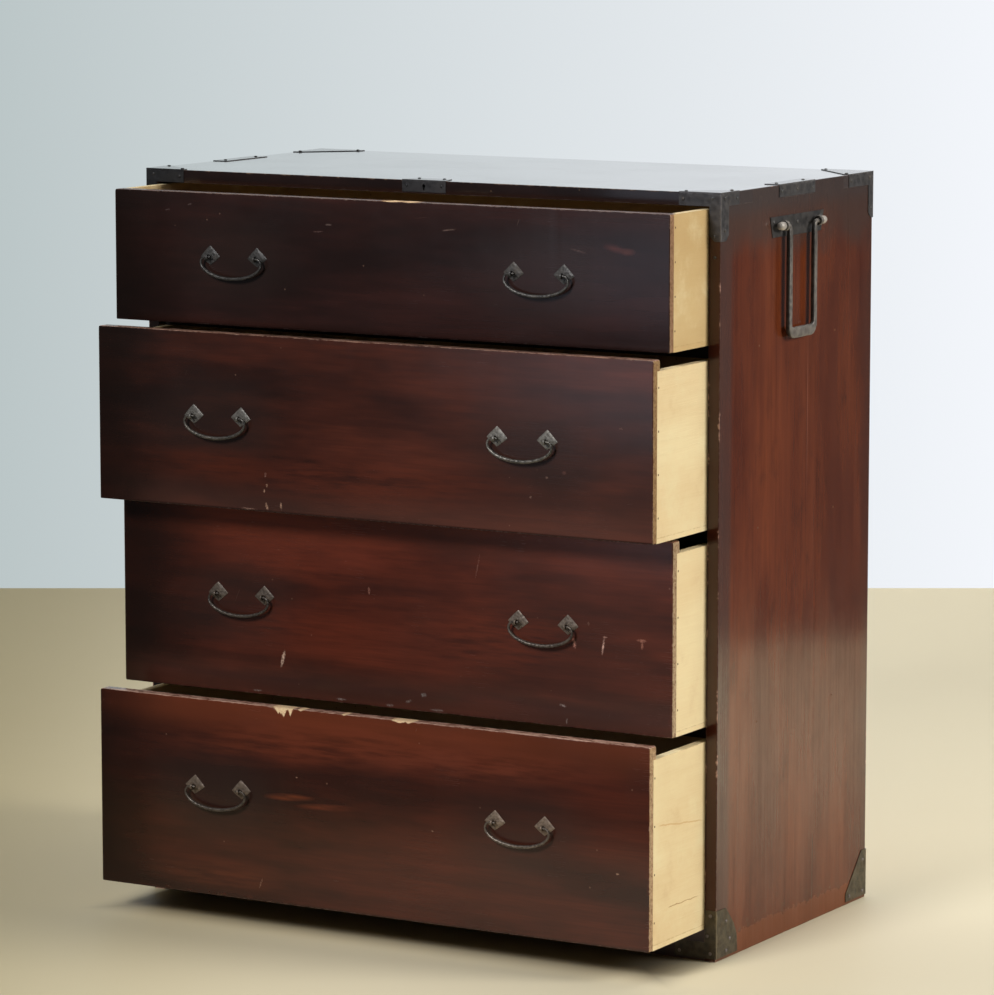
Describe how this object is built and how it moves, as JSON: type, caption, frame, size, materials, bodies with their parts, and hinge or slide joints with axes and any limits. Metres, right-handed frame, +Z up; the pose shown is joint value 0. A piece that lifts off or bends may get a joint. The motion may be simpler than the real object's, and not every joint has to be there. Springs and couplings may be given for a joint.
{
  "type": "clothing chest of drawers",
  "caption": "Japanese isho-dansu clothing chest: lacquered case with iron corner plates, full-width drawers with bail handles and a carrying handle on each side.",
  "frame": {"origin": "on the floor, under the middle of the case's base, on the underside of the middle bearer", "axes": "+Z up, +Y to the back of the chest, +X to its right as seen from the front; the drawers open towards -Y"},
  "size_m": [0.9416, 0.631, 1.0383],
  "materials": {
    "lacquer": "worn red-brown lacquer on straight-grained cedar, satin gloss",
    "front_lacquer": "dark red-brown lacquer on horizontal grain, satin gloss with worn edges",
    "top_lacquer": "dark glossy lacquer, lightly scratched",
    "paulownia": "bare pale paulownia, planed",
    "bare_cedar": "bare aged cedar, dull",
    "peg_wood": "hard wooden pegs, end grain",
    "black_iron": "thin wrought iron sheet, blackened, satin",
    "handle_iron": "forged iron, worn grey where handled",
    "nail_iron": "domed forged nail heads, dull grey"
  },
  "bodies": {
    "case": {"side_panel_left": "lacquer", "side_panel_right": "lacquer", "top_panel": "top_lacquer", "back_boards": "bare_cedar", "bottom_panel": "bare_cedar", "base_rails": "lacquer", "base_bearer": "bare_cedar", "shelf_boards": "bare_cedar", "case_pegs": "peg_wood", "top_corner_irons": "black_iron", "bottom_corner_irons": "black_iron", "edge_straps": "black_iron", "lock_plate": "black_iron", "lock_case": "black_iron", "iron_nails": "nail_iron", "carry_plates": "black_iron", "carry_eyes": "handle_iron"},
    "lock_bolt": {"lock_bolt": "black_iron"},
    "carry_bail_left": {"carry_bail_left": "handle_iron"},
    "carry_bail_right": {"carry_bail_right": "handle_iron"},
    "drawer_1": {"drawer_1_front": "front_lacquer", "drawer_1_side_left": "paulownia", "drawer_1_side_right": "paulownia", "drawer_1_back": "paulownia", "drawer_1_bottom": "paulownia", "drawer_1_pegs": "peg_wood", "drawer_1_handle_plates": "black_iron", "drawer_1_handle_eyes": "handle_iron"},
    "drawer_1_bail_left": {"drawer_1_bail_left": "handle_iron"},
    "drawer_1_bail_right": {"drawer_1_bail_right": "handle_iron"},
    "drawer_2": {"drawer_2_front": "front_lacquer", "drawer_2_side_left": "paulownia", "drawer_2_side_right": "paulownia", "drawer_2_back": "paulownia", "drawer_2_bottom": "paulownia", "drawer_2_pegs": "peg_wood", "drawer_2_handle_plates": "black_iron", "drawer_2_handle_eyes": "handle_iron"},
    "drawer_2_bail_left": {"drawer_2_bail_left": "handle_iron"},
    "drawer_2_bail_right": {"drawer_2_bail_right": "handle_iron"},
    "drawer_3": {"drawer_3_front": "front_lacquer", "drawer_3_side_left": "paulownia", "drawer_3_side_right": "paulownia", "drawer_3_back": "paulownia", "drawer_3_bottom": "paulownia", "drawer_3_pegs": "peg_wood", "drawer_3_handle_plates": "black_iron", "drawer_3_handle_eyes": "handle_iron"},
    "drawer_3_bail_left": {"drawer_3_bail_left": "handle_iron"},
    "drawer_3_bail_right": {"drawer_3_bail_right": "handle_iron"},
    "drawer_4": {"drawer_4_front": "front_lacquer", "drawer_4_side_left": "paulownia", "drawer_4_side_right": "paulownia", "drawer_4_back": "paulownia", "drawer_4_bottom": "paulownia", "drawer_4_pegs": "peg_wood", "drawer_4_handle_plates": "black_iron", "drawer_4_handle_eyes": "handle_iron"},
    "drawer_4_bail_left": {"drawer_4_bail_left": "handle_iron"},
    "drawer_4_bail_right": {"drawer_4_bail_right": "handle_iron"}
  },
  "joints": [
    {"name": "drawer_1_slide", "type": "slide", "parent": "case", "child": "drawer_1", "axis": [0, -1, 0], "range_m": [-0.107, 0.273]},
    {"name": "drawer_1_bail_left_swing", "type": "hinge", "parent": "drawer_1", "child": "drawer_1_bail_left", "pos_m": [-0.2405, -0.345, 0.928], "axis": [-1, 0, 0], "range_deg": [-8, 188]},
    {"name": "drawer_1_bail_right_swing", "type": "hinge", "parent": "drawer_1", "child": "drawer_1_bail_right", "pos_m": [0.2405, -0.345, 0.928], "axis": [-1, 0, 0], "range_deg": [-8, 188]},
    {"name": "drawer_2_slide", "type": "slide", "parent": "case", "child": "drawer_2", "axis": [0, -1, 0], "range_m": [-0.151, 0.229]},
    {"name": "drawer_2_bail_left_swing", "type": "hinge", "parent": "drawer_2", "child": "drawer_2_bail_left", "pos_m": [-0.2405, -0.389, 0.713], "axis": [-1, 0, 0], "range_deg": [-8, 188]},
    {"name": "drawer_2_bail_right_swing", "type": "hinge", "parent": "drawer_2", "child": "drawer_2_bail_right", "pos_m": [0.2405, -0.389, 0.713], "axis": [-1, 0, 0], "range_deg": [-8, 188]},
    {"name": "drawer_3_slide", "type": "slide", "parent": "case", "child": "drawer_3", "axis": [0, -1, 0], "range_m": [-0.094, 0.286]},
    {"name": "drawer_3_bail_left_swing", "type": "hinge", "parent": "drawer_3", "child": "drawer_3_bail_left", "pos_m": [-0.2405, -0.332, 0.458], "axis": [-1, 0, 0], "range_deg": [-8, 188]},
    {"name": "drawer_3_bail_right_swing", "type": "hinge", "parent": "drawer_3", "child": "drawer_3_bail_right", "pos_m": [0.2405, -0.332, 0.458], "axis": [-1, 0, 0], "range_deg": [-8, 188]},
    {"name": "drawer_4_slide", "type": "slide", "parent": "case", "child": "drawer_4", "axis": [0, -1, 0], "range_m": [-0.1565, 0.2235]},
    {"name": "drawer_4_bail_left_swing", "type": "hinge", "parent": "drawer_4", "child": "drawer_4_bail_left", "pos_m": [-0.2405, -0.3945, 0.1955], "axis": [-1, 0, 0], "range_deg": [-8, 188]},
    {"name": "drawer_4_bail_right_swing", "type": "hinge", "parent": "drawer_4", "child": "drawer_4_bail_right", "pos_m": [0.2405, -0.3945, 0.1955], "axis": [-1, 0, 0], "range_deg": [-8, 188]},
    {"name": "carry_bail_left_swing", "type": "hinge", "parent": "case", "child": "carry_bail_left", "pos_m": [-0.4636, -0.006, 0.9815], "axis": [0, 1, 0], "range_deg": [-1, 181]},
    {"name": "carry_bail_right_swing", "type": "hinge", "parent": "case", "child": "carry_bail_right", "pos_m": [0.4636, -0.006, 0.9815], "axis": [0, -1, 0], "range_deg": [-1, 181]},
    {"name": "lock_bolt_throw", "type": "slide", "parent": "case", "child": "lock_bolt", "axis": [0, 0, -1], "range_m": [0, 0.008]}
  ]
}
